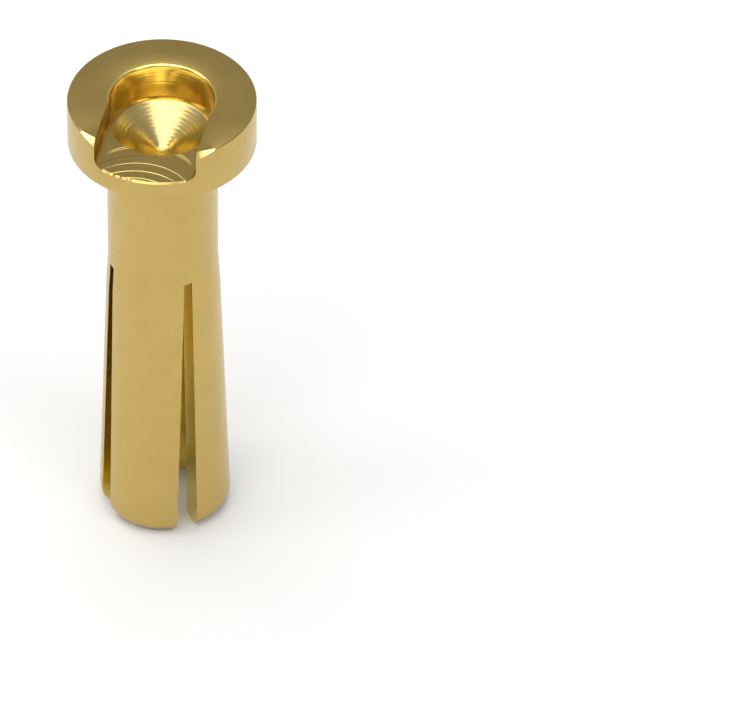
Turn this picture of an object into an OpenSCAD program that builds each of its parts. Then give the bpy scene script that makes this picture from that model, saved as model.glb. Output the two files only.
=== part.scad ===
// Low-profile bullet plug for the end of a battery lead, turned in one piece from brass and
// gold plated. It stands on its finger tips, with the wire cup upwards. Millimetres.

/* [Whole plug] */
// Length from the finger tips to the face of the head
plug_l = 19; // [18:0.1:21]

/* [Head] */
// Diameter of the head
head_d = 6.8; // [6.4:0.1:8]
// Height of the head
head_h = 1.9; // [1.7:0.05:2.6]
// Chamfer that breaks the turned edges of the head
head_edge = 0.06; // [0.02:0.01:0.12]

/* [Wire cup] */
// Diameter of the solder cup
cup_d = 3.9; // [3.2:0.05:4.2]
// Depth of the cup's wall
cup_depth = 1.5; // [1.3:0.05:1.6]
// Width of the milled wire slot, a little less than the cup's diameter
wire_slot_w = 3.75; // [2.8:0.05:3.85]
// Depth of the wire slot
wire_slot_depth = 1.1; // [0.8:0.05:1.3]
// Flat ring between the cup wall and the drill cone
cup_ledge = 0.15; // [0.05:0.01:0.3]
// Angle of the drill point
point_angle = 118; // [90:1:140]
// Diameter of the flat at the bottom of the drill cone
point_flat_d = 0.6; // [0.2:0.05:0.8]
// Bevel on the head's rim where the wire slot breaks through it
rim_bevel = 0.2; // [0.1:0.01:0.3]
// Angle along the rim over which that bevel runs out
rim_bevel_run = 19; // [12:1:30]

/* [Shank] */
// Diameter of the shank
shank_d = 4; // [3.8:0.05:4.2]
// Radius in the corner between the shank and the head
neck_r = 0.15; // [0.05:0.01:0.3]

/* [Spring fingers] */
// Length of the saw slots, which is the length of the fingers
finger_l = 11.7; // [8:0.1:12.5]
// Width of the saw slots before the fingers are spread
saw_w = 0.32; // [0.2:0.02:0.5]
// Diameter of the saw, which leaves the slots' ends slightly round
saw_d = 30; // [20:1:60]
// Angle by which each finger is spread outwards
spread = 1.9; // [0.5:0.05:2.5]
// Angle from the wire slot round to the nearest finger slot
slot_turn = 35; // [0:1:89]
// Bore inside the fingers
bore_d = 2.1; // [1.6:0.05:2.3]
// Length of the bore past the ends of the slots
bore_past = 1; // [0.2:0.1:1.5]
// Radius on the outside of the finger tips
tip_r = 0.65; // [0.3:0.05:0.7]
// Chamfer at the mouth of the bore
bore_edge = 0.1; // [0.05:0.01:0.15]

/* [Hidden] */
$fn = 96;
head_z = plug_l - head_h;
cup_z = plug_l - cup_depth;
// The slot is never wider than the cup that it leads out of
slot_w = min(wire_slot_w, cup_d - 2 * 0.05);
cone_top_r = cup_d / 2 - cup_ledge;
cone_h = (cone_top_r - point_flat_d / 2) / tan(point_angle / 2);
// Spread of a finger at its tip, and the bore's radius there
tip_out = finger_l * tan(spread);
tip_bore_r = bore_d / 2 + tip_out;
// Centre of the rounding at the tip, which touches the finger's flank and its end face
round_r = shank_d / 2 + (finger_l - tip_r * (1 + sin(spread))) * tan(spread) - tip_r * cos(spread);
// Steps in which the rounding is turned
tip_steps = 8;
// Half of a slot's width at the tip: two fingers move apart on both of its sides
tip_half_w = saw_w / 2 + tip_out * sin(45);
// Angle from the middle of the wire slot to its corner on the rim
corner_angle = asin(slot_w / head_d);
// The rim bevel is part of a 45-degree cone whose axis is moved back from the wire slot
bevel_shift = rim_bevel / (cos(corner_angle) - cos(corner_angle + rim_bevel_run));
bevel_r = head_d / 2 + bevel_shift * cos(corner_angle + rim_bevel_run);
// Overlap that carries a cut past a face
eps = 0.05;

// Outline of the turned blank, from the axis outwards
module blank_outline() {
    tip_round = [
        for (step = [0 : tip_steps])
            let (angle = -90 + (90 + spread) * step / tip_steps)
                [round_r + tip_r * cos(angle), tip_r + tip_r * sin(angle)]
    ];
    difference() {
        polygon(concat([[0, 0]], tip_round, [
            [shank_d / 2, finger_l],
            [shank_d / 2, head_z - neck_r],
            [shank_d / 2 + neck_r, head_z],
            [head_d / 2 - head_edge, head_z],
            [head_d / 2, head_z + head_edge],
            [head_d / 2, plug_l - head_edge],
            [head_d / 2 - head_edge, plug_l],
            [0, plug_l]
        ]));
        translate([shank_d / 2 + neck_r, head_z - neck_r]) circle(r = neck_r);
    }
}

// Solder cup with the drill cone below it
module wire_cup() {
    translate([0, 0, cup_z]) cylinder(d = cup_d, h = cup_depth + eps);
    rotate_extrude() polygon([
        [0, cup_z - cone_h],
        [point_flat_d / 2, cup_z - cone_h],
        [cone_top_r, cup_z],
        [cone_top_r, cup_z + eps],
        [0, cup_z + eps]
    ]);
}

// Slot that lets the wire leave the cup sideways, towards -Y
module wire_slot() {
    slot_h = wire_slot_depth + eps;
    translate([-slot_w / 2, -head_d, plug_l - wire_slot_depth]) cube([slot_w, head_d, slot_h]);
}

// Bevel on the rim at both corners of the wire slot
module rim_bevel_cut() {
    translate([0, bevel_shift, plug_l - head_h / 2]) rotate_extrude() polygon([
        [bevel_r + head_h / 2, 0],
        [head_d + bevel_shift, 0],
        [head_d + bevel_shift, head_h / 2 + eps],
        [bevel_r - eps, head_h / 2 + eps],
        [bevel_r, head_h / 2]
    ]);
}

// Bore that makes the fingers springs. It widens towards the tips as the fingers are spread,
// and ends in a drill cone with a small flat
module finger_bore() {
    bore_top = finger_l + bore_past;
    bore_flat_r = bore_d / 14;
    bore_end = bore_top + (bore_d / 2 - bore_flat_r) / tan(point_angle / 2);
    rotate_extrude() polygon([
        [0, -eps],
        [tip_bore_r + bore_edge + eps, -eps],
        [tip_bore_r, bore_edge],
        [bore_d / 2, finger_l],
        [bore_d / 2, bore_top],
        [bore_flat_r, bore_end],
        [0, bore_end]
    ]);
}

// One saw cut across the shank, which parts the fingers on both sides
module saw_cut() {
    intersection() {
        rotate([90, 0, 0]) linear_extrude(height = head_d, center = true) polygon([
            [-tip_half_w, 0],
            [-tip_half_w, -1],
            [tip_half_w, -1],
            [tip_half_w, 0],
            [saw_w / 2, finger_l],
            [saw_w / 2, finger_l + 1],
            [-saw_w / 2, finger_l + 1],
            [-saw_w / 2, finger_l]
        ]);
        translate([0, 0, finger_l - saw_d / 2])
            rotate([0, 90, 0]) cylinder(d = saw_d, h = head_d, center = true, $fn = 180);
    }
}

module bullet_plug() {
    color("#c8a860") difference() {
        rotate_extrude() blank_outline();
        wire_cup();
        wire_slot();
        rim_bevel_cut();
        finger_bore();
        for (cut = [0, 1]) rotate([0, 0, slot_turn + 90 * cut]) saw_cut();
    }
}

bullet_plug();
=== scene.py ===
from math import atan2, cos, pi, radians, sin, tan

import bmesh
import bpy
from mathutils import Matrix, Vector


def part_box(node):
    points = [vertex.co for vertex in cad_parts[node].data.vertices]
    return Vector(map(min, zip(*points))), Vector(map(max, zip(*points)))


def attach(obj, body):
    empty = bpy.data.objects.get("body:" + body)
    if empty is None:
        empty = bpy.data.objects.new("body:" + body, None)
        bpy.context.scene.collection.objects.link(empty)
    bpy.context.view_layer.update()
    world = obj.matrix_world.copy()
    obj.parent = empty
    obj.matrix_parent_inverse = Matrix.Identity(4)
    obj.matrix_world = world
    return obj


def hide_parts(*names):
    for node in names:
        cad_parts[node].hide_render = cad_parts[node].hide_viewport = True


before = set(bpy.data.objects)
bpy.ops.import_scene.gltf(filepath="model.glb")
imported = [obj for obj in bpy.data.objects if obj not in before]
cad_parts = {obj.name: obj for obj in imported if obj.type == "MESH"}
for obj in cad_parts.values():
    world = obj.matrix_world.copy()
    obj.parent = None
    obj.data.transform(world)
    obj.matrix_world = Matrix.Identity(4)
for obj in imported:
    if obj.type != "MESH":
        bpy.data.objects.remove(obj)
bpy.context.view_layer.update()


# ---------------------------------------------------------------------------------------------
# The camera. It looks down on the plug from a long way off through a long lens, from a little
# to the right of the way the wire slot opens. The plug stands left of the middle of the view.
# ---------------------------------------------------------------------------------------------
CAMERA_PLACE = (0.05696, -0.25517, 0.23609)
CAMERA_LOOK = (-0.14203, 0.73835, -0.65929)
CAMERA_ROLL = radians(0.65)
LENS = 455.4

bpy.context.scene.view_settings.view_transform = "Standard"
bpy.ops.object.select_all(action="DESELECT")
bpy.ops.object.camera_add()
camera = bpy.context.object
camera.name = "photographer"
camera.data.sensor_width = 36.0
camera.data.lens = LENS
camera.data.clip_start = 0.01
camera.data.clip_end = 20.0
level_view = Vector(CAMERA_LOOK).to_track_quat("-Z", "Y").to_matrix()
rolled_view = level_view @ Matrix.Rotation(CAMERA_ROLL, 3, "Z")
camera.matrix_world = Matrix.Translation(CAMERA_PLACE) @ rolled_view.to_4x4()
bpy.context.scene.camera = camera


# ---------------------------------------------------------------------------------------------
# The turned blank. The real plug is turned from one brass bar, with a solder cup drilled in its
# wide head and a bore up from the other end, and is gold plated. Its outline runs from the end
# of the bore down, round the tips, up the outside and into the cup, and is spun round the axis.
# ---------------------------------------------------------------------------------------------
low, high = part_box("bullet_plug")
PLUG_L = high[2]
HEAD_R = (high[0] - low[0]) / 2
HEAD_H = 0.0019
HEAD_EDGE = 0.00006
SHANK_R = 0.002
NECK_R = 0.00015
CUP_R = 0.00188
CUP_EDGE = 0.00009
CUP_DEPTH = 0.0015
CUP_LAND = 0.0002
CUP_RINGS = 9
CUP_RING_H = 0.000002
CUP_LEDGE = 0.0001
DRILL_HALF_ANGLE = radians(59)
CONE_FLAT_R = 0.0003
CONE_RINGS = 11
CONE_RING_H = 0.000006
WEB_R = 0.00017
WEB_DEPTH = 0.00004
FINGER_L = 0.0119
FINGER_SET = 0.00004
FINGER_FLARE = 0.00007
FINGER_PARTS = 8
LOWEST_PART = 0.0011
BEND_L = 0.0012
BEND_STEPS = 6
BORE_R = 0.00105
BORE_PAST = 0.001
BORE_FLAT_R = 0.00008
BORE_EDGE = 0.0001
TIP_R = 0.00065
TIP_LIFT = 0.00003
TURNS = 192
HAIR = 0.00001
MERGE_WITHIN = 0.0000005


def arc(centre_r, centre_z, radius, start, end, steps):
    """Points of an arc in the plane of the outline, angles in degrees."""
    points = []
    for step in range(steps + 1):
        angle = radians(start + (end - start) * step / steps)
        points.append((centre_r + radius * cos(angle), centre_z + radius * sin(angle)))
    return points


def ringed(start, end, rings, height):
    """A straight cut with the fine rings that the tool leaves, each with a sharp crest."""
    points = []
    along = Vector((end[0] - start[0], end[1] - start[1]))
    across = Vector((along.y, -along.x)).normalized()
    for ring in range(rings):
        crest = across * height * (0.7 + 0.3 * sin(ring * 2.4))
        for place, lift in ((0.0, 0.0), (0.35, 0.8), (0.6, 1.0), (0.85, 0.35)):
            point = Vector(start) + along * (ring + place) / rings + crest * lift
            points.append((point.x, point.y))
    points.append(end)
    return points


def finger_heights():
    """Heights of the outline's points along a finger, close together where it bends."""
    heights = [FINGER_L - BEND_L * step / BEND_STEPS for step in range(BEND_STEPS + 1)]
    straight_top = heights[-1]
    for part in range(1, FINGER_PARTS + 1):
        heights.append(straight_top + (LOWEST_PART - straight_top) * part / FINGER_PARTS)
    return heights


def flank_r(height):
    """Radius outside a finger, which is set outwards a little from the slot's end."""
    below = FINGER_L - height
    return SHANK_R + FINGER_SET * min(1.0, below / BEND_L) + FINGER_FLARE * below / FINGER_L


head_z = PLUG_L - HEAD_H
bore_end = FINGER_L + BORE_PAST
bore_point = bore_end + (BORE_R - BORE_FLAT_R) / tan(DRILL_HALF_ANGLE)
cup_floor = PLUG_L - CUP_DEPTH
cone_r = CUP_R - CUP_LEDGE
cone_end = cup_floor - (cone_r - CONE_FLAT_R) / tan(DRILL_HALF_ANGLE)

outline = [(0.0, bore_point), (BORE_FLAT_R, bore_point), (BORE_R, bore_end)]
outline += [(BORE_R, height) for height in finger_heights()]
outline += [(BORE_R, TIP_LIFT + BORE_EDGE), (BORE_R + BORE_EDGE, TIP_LIFT)]
outline += arc(flank_r(TIP_R) - TIP_R, TIP_LIFT + TIP_R, TIP_R, -90, 0, 10)
outline += [(flank_r(height), height) for height in reversed(finger_heights())]
outline += [(SHANK_R, FINGER_L + BEND_L / 2)]
outline += arc(SHANK_R + NECK_R, head_z - NECK_R, NECK_R, 180, 90, 5)
outline += arc(HEAD_R - HEAD_EDGE, head_z + HEAD_EDGE, HEAD_EDGE, -90, 0, 4)
outline += arc(HEAD_R - HEAD_EDGE, PLUG_L - HEAD_EDGE, HEAD_EDGE, 0, 90, 4)
outline += arc(CUP_R + CUP_EDGE, PLUG_L - CUP_EDGE, CUP_EDGE, 90, 180, 4)
outline += ringed((CUP_R, PLUG_L - CUP_LAND), (CUP_R, cup_floor), CUP_RINGS, CUP_RING_H)
outline += ringed((cone_r, cup_floor), (CONE_FLAT_R, cone_end), CONE_RINGS, CONE_RING_H)
outline += [(WEB_R, cone_end - WEB_DEPTH), (0.0, cone_end - 1.5 * WEB_DEPTH)]

# The finishes. All of it is brass under one thin gold plating, and each tool left its own marks
# below that: satin where it was turned, shinier where it was drilled, wide arcs where sawn.
# Three golds are painted light: lighter in the cup and on the rim bevels, paler on the drill's
# point as a painted highlight, and deeper in the bore and saw slots as painted bounce light
MILL_ARC_R_SQUARE = 0.0000045
SAW_CENTRE_BELOW = 0.0033
GRAIN_SHARE = 0.15
SATIN = (0.545, 0.388, 0.124, 1)
# Lighter gold for the cup's walls and the rim bevels: painted light, not a colour of the plating
PAINTED_LIGHT_GOLD = (0.86, 0.66, 0.2, 1)
# Paler gold for the drill's point in the cup floor: a painted highlight
PAINTED_HIGHLIGHT_GOLD = (0.58, 0.45, 0.18, 1)
# Deeper, brighter gold for the bore and the saw slots: painted bounce light inside the fingers
PAINTED_BOUNCE_GOLD = (0.83, 0.645, 0.13, 1)


def node_group(name, inputs, outputs):
    """A group with named inputs and outputs, ready for its nodes."""
    group = bpy.data.node_groups.new(name, "ShaderNodeTree")
    for label, kind, value in inputs:
        socket = group.interface.new_socket(label, in_out="INPUT", socket_type=kind)
        socket.default_value = value
    for label, kind in outputs:
        group.interface.new_socket(label, in_out="OUTPUT", socket_type=kind)
    return group, group.nodes.new("NodeGroupInput"), group.nodes.new("NodeGroupOutput")


def object_place(tree):
    """The place on the plug, from Object coordinates."""
    return tree.nodes.new("ShaderNodeTexCoord").outputs["Object"]


def feed(tree, value, socket):
    """Links an output to a socket, or sets the socket to a number or colour."""
    if isinstance(value, bpy.types.NodeSocket):
        tree.links.new(value, socket)
    else:
        socket.default_value = value


def worked(tree, operation, first, second=0.0):
    """The result of one Math node."""
    node = tree.nodes.new("ShaderNodeMath")
    node.operation = operation
    feed(tree, first, node.inputs[0])
    feed(tree, second, node.inputs[1])
    return node.outputs[0]


def ramped(tree, value, *, low, high):
    """Nought up to the low value, one from the high value on, and even in between."""
    node = tree.nodes.new("ShaderNodeMapRange")
    feed(tree, value, node.inputs["Value"])
    feed(tree, low, node.inputs["From Min"])
    feed(tree, high, node.inputs["From Max"])
    return node.outputs["Result"]


def mottle(tree, place, scale, detail):
    """Cloudy noise at a given scale."""
    node = tree.nodes.new("ShaderNodeTexNoise")
    feed(tree, place, node.inputs["Vector"])
    feed(tree, scale, node.inputs["Scale"])
    feed(tree, detail, node.inputs["Detail"])
    return node.outputs["Fac"]


# How far along its cut each tool was: the turning tool and the drill make rings round the axis,
# the end mill makes arcs as wide as the wire slot, and the saw makes wide arcs in its slots
path_group, path_in, path_out = node_group("tool_path", [], [
    ("Turned", "NodeSocketFloat"),
    ("Milled", "NodeSocketFloat"),
    ("Sawn", "NodeSocketFloat")])
split = path_group.nodes.new("ShaderNodeSeparateXYZ")
feed(path_group, object_place(path_group), split.inputs[0])
x_square = worked(path_group, "POWER", split.outputs["X"], 2.0)
y_square = worked(path_group, "POWER", split.outputs["Y"], 2.0)
r_square = worked(path_group, "ADD", x_square, y_square)
from_axis = worked(path_group, "SQRT", r_square)
turned = worked(path_group, "ADD", from_axis, split.outputs["Z"])
bow_square = worked(path_group, "SUBTRACT", MILL_ARC_R_SQUARE, x_square)
milled = worked(path_group, "SUBTRACT", split.outputs["Y"], worked(path_group, "SQRT", bow_square))
above_saw = worked(path_group, "ADD", split.outputs["Z"], SAW_CENTRE_BELOW)
above_square = worked(path_group, "POWER", above_saw, 2.0)
sawn = worked(path_group, "SQRT", worked(path_group, "ADD", above_square, r_square))
feed(path_group, turned, path_out.inputs["Turned"])
feed(path_group, milled, path_out.inputs["Milled"])
feed(path_group, sawn, path_out.inputs["Sawn"])

# The marks themselves: uneven lines side by side, or low steps, which fade and come back
marks_group, marks_in, marks_out = node_group("tool_marks", [
    ("Place", "NodeSocketFloat", 0.0),
    ("Spacing", "NodeSocketFloat", 0.0001),
    ("Unevenness", "NodeSocketFloat", 0.3),
    ("Steps", "NodeSocketFloat", 0.0)], [
    ("Height", "NodeSocketFloat")])
count = worked(marks_group, "DIVIDE", marks_in.outputs["Place"], marks_in.outputs["Spacing"])
lines = marks_group.nodes.new("ShaderNodeTexNoise")
lines.noise_dimensions = "1D"
lines.inputs["Scale"].default_value = 1.0
lines.inputs["Detail"].default_value = 3.0
feed(marks_group, count, lines.inputs["W"])
steps = ramped(marks_group, lines.outputs["Fac"], low=0.5, high=0.52)
stepped = worked(marks_group, "MULTIPLY", steps, marks_in.outputs["Steps"])
smooth_share = worked(marks_group, "SUBTRACT", 1.0, marks_in.outputs["Steps"])
smooth = worked(marks_group, "MULTIPLY", smooth_share, lines.outputs["Fac"])
height = worked(marks_group, "ADD", stepped, smooth)
patches = mottle(marks_group, object_place(marks_group), scale=1100.0, detail=2.0)
patches = ramped(marks_group, patches, low=0.35, high=0.65)
faded = worked(marks_group, "MULTIPLY", patches, marks_in.outputs["Unevenness"])
left_over = worked(marks_group, "SUBTRACT", 1.0, faded)
feed(marks_group, worked(marks_group, "MULTIPLY", height, left_over), marks_out.inputs["Height"])

# The plating over them: a fine grain, faint clouds where it is thicker, and small dull specks
plate_group, plate_in, plate_out = node_group("gold_plate", [
    ("Gold", "NodeSocketColor", SATIN),
    ("Clouds", "NodeSocketFloat", 0.16),
    ("Specks", "NodeSocketFloat", 0.05),
    ("Roughness", "NodeSocketFloat", 0.25)], [
    ("Color", "NodeSocketColor"),
    ("Roughness", "NodeSocketFloat"),
    ("Grain", "NodeSocketFloat")])
place = object_place(plate_group)
clouds = mottle(plate_group, place, scale=700.0, detail=4.0)
clouds = worked(plate_group, "SUBTRACT", clouds, 0.5)
clouds = worked(plate_group, "MULTIPLY", clouds, plate_in.outputs["Clouds"])
dots = mottle(plate_group, place, scale=6000.0, detail=1.0)
dots = ramped(plate_group, dots, low=0.68, high=0.74)
specks = worked(plate_group, "MULTIPLY", dots, plate_in.outputs["Specks"])
clouded = worked(plate_group, "ADD", 1.0, clouds)
shade = worked(plate_group, "SUBTRACT", clouded, worked(plate_group, "MULTIPLY", specks, 0.5))
tint = plate_group.nodes.new("ShaderNodeMix")
tint.data_type = "RGBA"
tint.blend_type = "MULTIPLY"
tint.inputs["Factor"].default_value = 1.0
feed(plate_group, plate_in.outputs["Gold"], tint.inputs["A"])
feed(plate_group, shade, tint.inputs["B"])
feed(plate_group, tint.outputs["Result"], plate_out.inputs["Color"])
rough_specks = worked(plate_group, "MULTIPLY", specks, 0.3)
rough_clouds = worked(plate_group, "MULTIPLY", clouds, 0.3)
rough = worked(plate_group, "ADD", plate_in.outputs["Roughness"], rough_specks)
rough = worked(plate_group, "ADD", rough, rough_clouds)
feed(plate_group, rough, plate_out.inputs["Roughness"])
grain = mottle(plate_group, place, scale=22000.0, detail=2.0)
feed(plate_group, grain, plate_out.inputs["Grain"])


def gold_finish(name, tool, spacing, depth, roughness, gold, steps=0.0):
    """Gold plating over the marks of one tool."""
    finish = bpy.data.materials.new(name)
    finish.use_nodes = True
    tree = finish.node_tree
    path = tree.nodes.new("ShaderNodeGroup")
    path.node_tree = path_group
    marks = tree.nodes.new("ShaderNodeGroup")
    marks.node_tree = marks_group
    marks.inputs["Spacing"].default_value = spacing
    marks.inputs["Steps"].default_value = steps
    feed(tree, path.outputs[tool], marks.inputs["Place"])
    plate = tree.nodes.new("ShaderNodeGroup")
    plate.node_tree = plate_group
    plate.inputs["Gold"].default_value = gold
    plate.inputs["Roughness"].default_value = roughness
    grain = worked(tree, "MULTIPLY", plate.outputs["Grain"], GRAIN_SHARE)
    relief = tree.nodes.new("ShaderNodeBump")
    relief.inputs["Strength"].default_value = 1.0
    relief.inputs["Distance"].default_value = depth
    feed(tree, worked(tree, "ADD", marks.outputs["Height"], grain), relief.inputs["Height"])
    metal = tree.nodes["Principled BSDF"]
    metal.inputs["Metallic"].default_value = 1.0
    feed(tree, plate.outputs["Color"], metal.inputs["Base Color"])
    feed(tree, plate.outputs["Roughness"], metal.inputs["Roughness"])
    feed(tree, relief.outputs["Normal"], metal.inputs["Normal"])
    return finish


turned_gold = gold_finish(
    "turned_gold", "Turned", spacing=0.00016, depth=0.000006, roughness=0.27, gold=SATIN)
faced_gold = gold_finish(
    "faced_gold", "Turned", spacing=0.00012, depth=0.0000025, roughness=0.23, gold=SATIN)
# The cup's walls are shinier from the drill, and their lighter gold is painted light
drilled_gold_painted_light = gold_finish(
    "drilled_gold_painted_light", "Turned", spacing=0.00012, depth=0.000002, roughness=0.15, gold=PAINTED_LIGHT_GOLD)
# The drill's point in the cup floor: its paler gold is a painted highlight
pointed_gold_painted_highlight = gold_finish(
    "pointed_gold_painted_highlight", "Turned", spacing=0.00016, depth=0.000003, roughness=0.25, gold=PAINTED_HIGHLIGHT_GOLD)
# The bore and the saw slots' walls: their deeper gold is painted bounce light
sawn_gold_painted_bounce = gold_finish(
    "sawn_gold_painted_bounce", "Sawn", spacing=0.00008, depth=0.000002, roughness=0.22, gold=PAINTED_BOUNCE_GOLD)

bpy.ops.object.select_all(action="DESELECT")
bpy.ops.mesh.primitive_plane_add(size=0.001)
plug = bpy.context.object
plug.name = "turned_plug"
bpy.ops.object.mode_set(mode="EDIT")
bpy.ops.mesh.delete(type="ONLY_FACE")
drawn = bmesh.from_edit_mesh(plug.data)
for spare in list(drawn.verts)[1:]:
    drawn.verts.remove(spare)
drawn.verts.ensure_lookup_table()
drawn.verts[0].co = (outline[0][0], 0.0, outline[0][1])
drawn.verts[0].select = True
bmesh.update_edit_mesh(plug.data)
for before, after in zip(outline, outline[1:]):
    step = (after[0] - before[0], 0.0, after[1] - before[1])
    bpy.ops.mesh.extrude_vertices_move(TRANSFORM_OT_translate={"value": step})
bpy.ops.mesh.select_all(action="SELECT")
bpy.ops.mesh.spin(steps=TURNS, angle=2 * pi, center=(0, 0, 0), axis=(0, 0, 1))
bpy.ops.mesh.select_all(action="SELECT")
bpy.ops.mesh.remove_doubles(threshold=MERGE_WITHIN)
bpy.ops.mesh.normals_make_consistent(inside=False)
bpy.ops.object.mode_set(mode="OBJECT")

blank_finishes = (turned_gold, faced_gold, drilled_gold_painted_light, sawn_gold_painted_bounce, pointed_gold_painted_highlight)
for finish in blank_finishes:
    plug.data.materials.append(finish)
for face in plug.data.polygons:
    face_r = Vector((face.center.x, face.center.y)).length
    face_z = face.center.z
    finish = turned_gold
    if face_r < CUP_R + CUP_EDGE and face_z > cup_floor:
        finish = drilled_gold_painted_light
    elif face_r < cone_r and face_z > cone_end - 2 * WEB_DEPTH:
        finish = pointed_gold_painted_highlight
    elif face_r < BORE_R + HAIR:
        finish = sawn_gold_painted_bounce
    elif face_z > PLUG_L - HAIR:
        finish = faced_gold
    face.material_index = blank_finishes.index(finish)


# ---------------------------------------------------------------------------------------------
# The wire slot. An end mill opens the cup sideways through the rim, a little shallower than the
# cup, and leaves round corners along its floor. Deburring breaks the floor's lip, but for a
# torn burr, and leaves a bevel on the rim at both sides, which runs out along the edge.
# ---------------------------------------------------------------------------------------------
SLOT_W = 0.00371
SLOT_DEPTH = 0.0011
SLOT_CORNER_R = 0.0003
MILL_ABOVE = 0.0005
LIP_BREAK = 0.00006
BURR_FROM = -0.0012
BURR_TO = -0.00035
BURR_H = 0.00008
BURR_WAVES = 24000
BURR_CUTS = 2
FLOOR_GAP = 0.000002
RIM_BEVEL = 0.00013
RIM_BEVEL_RUN = radians(7.5)
BEVEL_ABOVE = 0.0005
BEVEL_BELOW = 0.001
BEVEL_OUTSIDE_R = 0.006
BEVEL_RING_H = 0.0014
BEVEL_SIDES = 256

milled_gold = gold_finish(
    "milled_gold", "Milled", spacing=0.0009, depth=0.000009, roughness=0.2, gold=SATIN, steps=0.95)


def take_up(part):
    """Makes one part the only selected and the active one."""
    bpy.ops.object.select_all(action="DESELECT")
    bpy.context.view_layer.objects.active = part
    part.select_set(True)


def cut(part, cutter):
    """Takes the cutter's shape out of the part, and leaves the cutter's finish there."""
    take_up(part)
    taken = part.modifiers.new("cut", "BOOLEAN")
    taken.operation = "DIFFERENCE"
    taken.solver = "EXACT"
    taken.material_mode = "TRANSFER"
    taken.object = cutter
    bpy.ops.object.modifier_apply(modifier=taken.name)
    bpy.data.objects.remove(cutter, do_unlink=True)


bpy.ops.object.select_all(action="DESELECT")
bpy.ops.mesh.primitive_cube_add(size=1, location=(0, -HEAD_R, PLUG_L + MILL_ABOVE))
mill = bpy.context.object
mill.scale = (SLOT_W, 2 * HEAD_R, 2 * (SLOT_DEPTH + MILL_ABOVE))
bpy.ops.object.transform_apply(location=True, rotation=True, scale=True)
bpy.ops.object.mode_set(mode="EDIT")
bpy.ops.mesh.select_all(action="DESELECT")
bpy.ops.mesh.select_mode(type="EDGE")
mill_mesh = bmesh.from_edit_mesh(mill.data)
for edge in mill_mesh.edges:
    first_end, second_end = edge.verts
    along_slot = abs(first_end.co.y - second_end.co.y) > HEAD_R
    edge.select = along_slot and first_end.co.z < PLUG_L
bmesh.update_edit_mesh(mill.data)
bpy.ops.mesh.bevel(offset=SLOT_CORNER_R, segments=6)
bpy.ops.object.mode_set(mode="OBJECT")
mill.data.materials.append(milled_gold)
cut(plug, mill)

slot_floor = PLUG_L - SLOT_DEPTH
take_up(plug)
bpy.ops.object.mode_set(mode="EDIT")
bpy.ops.mesh.select_all(action="DESELECT")
bpy.ops.mesh.select_mode(type="EDGE")
plug_mesh = bmesh.from_edit_mesh(plug.data)
for edge in plug_mesh.edges:
    ends = [vert.co for vert in edge.verts]
    on_floor = all(abs(end.z - slot_floor) < FLOOR_GAP for end in ends)
    on_rim = all(Vector((end.x, end.y)).length > HEAD_R - 2 * HAIR for end in ends)
    in_slot = all(end.y < 0 and abs(end.x) < SLOT_W / 2 for end in ends)
    edge.select = on_floor and on_rim and in_slot
bmesh.update_edit_mesh(plug.data)
bpy.ops.mesh.subdivide(number_cuts=BURR_CUTS)
bpy.ops.mesh.bevel(offset=LIP_BREAK, segments=1)
plug_mesh = bmesh.from_edit_mesh(plug.data)
for vert in plug_mesh.verts:
    if vert.select and BURR_FROM < vert.co.x < BURR_TO:
        along = (vert.co.x - BURR_FROM) / (BURR_TO - BURR_FROM)
        tear = sin(pi * along) * (0.75 + 0.25 * sin(vert.co.x * BURR_WAVES))
        vert.co.z += BURR_H * tear
        vert.co.y -= BURR_H * tear
bmesh.update_edit_mesh(plug.data)
bpy.ops.object.mode_set(mode="OBJECT")

slot_corner = atan2(SLOT_W / 2, (HEAD_R ** 2 - SLOT_W ** 2 / 4) ** 0.5)
bevel_shift = RIM_BEVEL / (cos(slot_corner) - cos(slot_corner + RIM_BEVEL_RUN))
bevel_r = HEAD_R + bevel_shift * cos(slot_corner + RIM_BEVEL_RUN)
bevel_z = PLUG_L + (BEVEL_ABOVE - BEVEL_BELOW) / 2
bpy.ops.object.select_all(action="DESELECT")
bpy.ops.mesh.primitive_cone_add(
    vertices=BEVEL_SIDES, radius1=bevel_r + BEVEL_BELOW, radius2=bevel_r - BEVEL_ABOVE,
    depth=BEVEL_BELOW + BEVEL_ABOVE, location=(0, bevel_shift, bevel_z))
bevel_cone = bpy.context.object
bpy.ops.mesh.primitive_cylinder_add(
    vertices=BEVEL_SIDES, radius=BEVEL_OUTSIDE_R, depth=BEVEL_RING_H,
    location=(0, 0, bevel_z))
bevel_ring = bpy.context.object
# The rim bevels take the drilled gold, whose lighter colour is painted light
bevel_cone.data.materials.append(drilled_gold_painted_light)
bevel_ring.data.materials.append(drilled_gold_painted_light)
cut(bevel_ring, bevel_cone)
cut(plug, bevel_ring)


# ---------------------------------------------------------------------------------------------
# The spring fingers. A slitting saw crosses the shank twice and leaves four fingers, with one
# cut a little askew. A mandrel then spreads them, so each bends outwards at its slots' ends.
# ---------------------------------------------------------------------------------------------
SAW_W = 0.00032
SAW_R = 0.015
SAW_SIDES = 1440
SAW_TURNS = (radians(32.5), radians(124.5))
SAW_LEANS = (radians(1.1), 0.0)
SPREAD = radians(1.75)
SMOOTH_UP_TO = radians(28)

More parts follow.
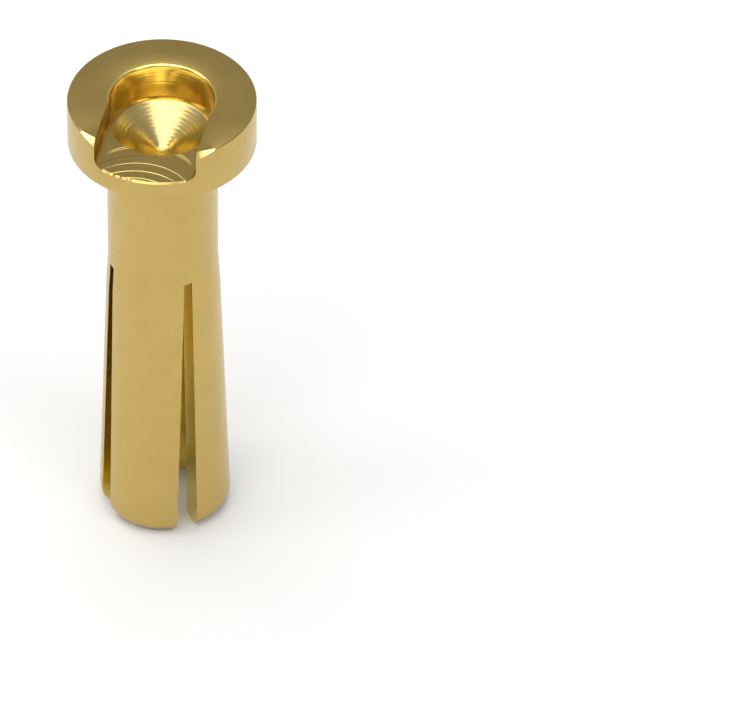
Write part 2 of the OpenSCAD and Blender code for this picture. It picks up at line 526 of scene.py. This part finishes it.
saw_faces = []
for saw_turn, saw_lean in zip(SAW_TURNS, SAW_LEANS):
    bpy.ops.object.select_all(action="DESELECT")
    bpy.ops.mesh.primitive_cylinder_add(
        vertices=SAW_SIDES, radius=SAW_R, depth=SAW_W, location=(0, 0, FINGER_L - SAW_R),
        rotation=(0, pi / 2, 0))
    saw = bpy.context.object
    bpy.ops.object.transform_apply(location=True, rotation=True, scale=True)
    seated = Matrix.Rotation(saw_turn, 4, "Z") @ Matrix.Rotation(saw_lean, 4, "Y")
    saw.data.transform(seated)
    saw_faces.append(seated.to_3x3() @ Vector((1, 0, 0)))
    # The saw leaves its gold in the slots, deeper as painted bounce light
    saw.data.materials.append(sawn_gold_painted_bounce)
    cut(plug, saw)

take_up(plug)
bpy.ops.object.mode_set(mode="EDIT")
plug_mesh = bmesh.from_edit_mesh(plug.data)
for first_side, second_side in ((1, 1), (1, -1), (-1, -1), (-1, 1)):
    out = saw_faces[0] * first_side + saw_faces[1] * second_side
    out.z = 0.0
    out.normalize()
    bend = Matrix.Rotation(SPREAD / BEND_STEPS, 3, Vector((out.y, -out.x, 0)))
    for step in range(BEND_STEPS):
        hinge = out * SHANK_R
        hinge.z = FINGER_L - BEND_L * step / BEND_STEPS
        hung = []
        for vert in plug_mesh.verts:
            past_first = vert.co.dot(saw_faces[0]) * first_side > 0
            past_second = vert.co.dot(saw_faces[1]) * second_side > 0
            if past_first and past_second and vert.co.z < hinge.z - HAIR:
                hung.append(vert)
        bmesh.ops.rotate(plug_mesh, cent=hinge, matrix=bend, verts=hung)
bmesh.update_edit_mesh(plug.data)
bpy.ops.object.mode_set(mode="OBJECT")
bpy.ops.object.shade_smooth_by_angle(angle=SMOOTH_UP_TO)

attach(plug, "root")
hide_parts("bullet_plug")


# ---------------------------------------------------------------------------------------------
# The studio. A wide sheet of white paper, a dim grey room, and soft boxes above, in front and
# at both sides. They face the middle of the plug.
# ---------------------------------------------------------------------------------------------
PAPER_WHITE = (0.75, 0.75, 0.75, 1)
PAPER_GLOW = 0.05
ROOM_GREY = (0.41, 0.41, 0.4, 1)
PLUG_MIDDLE = Vector((0, 0, 0.009))

bpy.ops.object.select_all(action="DESELECT")
bpy.ops.mesh.primitive_plane_add(size=3)
floor = bpy.context.object
floor.name = "studio_floor"
paper = bpy.data.materials.new("white_paper")
paper.use_nodes = True
sheet = paper.node_tree.nodes["Principled BSDF"]
sheet.inputs["Base Color"].default_value = PAPER_WHITE
sheet.inputs["Roughness"].default_value = 0.9
sheet.inputs["Specular IOR Level"].default_value = 0.0
sheet.inputs["Emission Color"].default_value = (1, 1, 1, 1)
paper_ray = paper.node_tree.nodes.new("ShaderNodeLightPath")
seen = worked(
    paper.node_tree, "MAXIMUM",
    paper_ray.outputs["Is Camera Ray"], paper_ray.outputs["Is Glossy Ray"])
glow = worked(paper.node_tree, "MULTIPLY", seen, PAPER_GLOW)
feed(paper.node_tree, glow, sheet.inputs["Emission Strength"])
floor.data.materials.append(paper)


def soft_box(name, place, size_x, size_y, power):
    """A soft box that faces the plug."""
    bpy.ops.object.select_all(action="DESELECT")
    bpy.ops.object.light_add(type="AREA", location=place)
    box = bpy.context.object
    box.name = name
    box.data.shape = "RECTANGLE"
    box.data.size = size_x
    box.data.size_y = size_y
    box.data.energy = power
    aim = PLUG_MIDDLE - Vector(place)
    box.rotation_euler = aim.to_track_quat("-Z", "Y").to_euler()


soft_box("top_soft_box", (-0.12, -0.03, 1.0), 1.45, 0.85, 10.2)
soft_box("left_soft_box", (-0.88, -0.29, 0.59), 0.4, 0.4, 1.8)
soft_box("right_soft_box", (0.63, -0.41, 0.72), 0.35, 0.35, 1.4)
soft_box("front_soft_box", (-0.1, -0.7, 0.78), 0.7, 0.2, 1.3)

room = bpy.data.worlds.new("room")
bpy.context.scene.world = room
room.use_nodes = True
room_tree = room.node_tree
room_tree.nodes.clear()
grey = room_tree.nodes.new("ShaderNodeBackground")
grey.inputs["Color"].default_value = ROOM_GREY
white = room_tree.nodes.new("ShaderNodeBackground")
white.inputs["Color"].default_value = (1, 1, 1, 1)
room_ray = room_tree.nodes.new("ShaderNodeLightPath")
backdrop = room_tree.nodes.new("ShaderNodeMixShader")
feed(room_tree, room_ray.outputs["Is Camera Ray"], backdrop.inputs["Fac"])
feed(room_tree, grey.outputs[0], backdrop.inputs[1])
feed(room_tree, white.outputs[0], backdrop.inputs[2])
room_out = room_tree.nodes.new("ShaderNodeOutputWorld")
feed(room_tree, backdrop.outputs[0], room_out.inputs["Surface"])
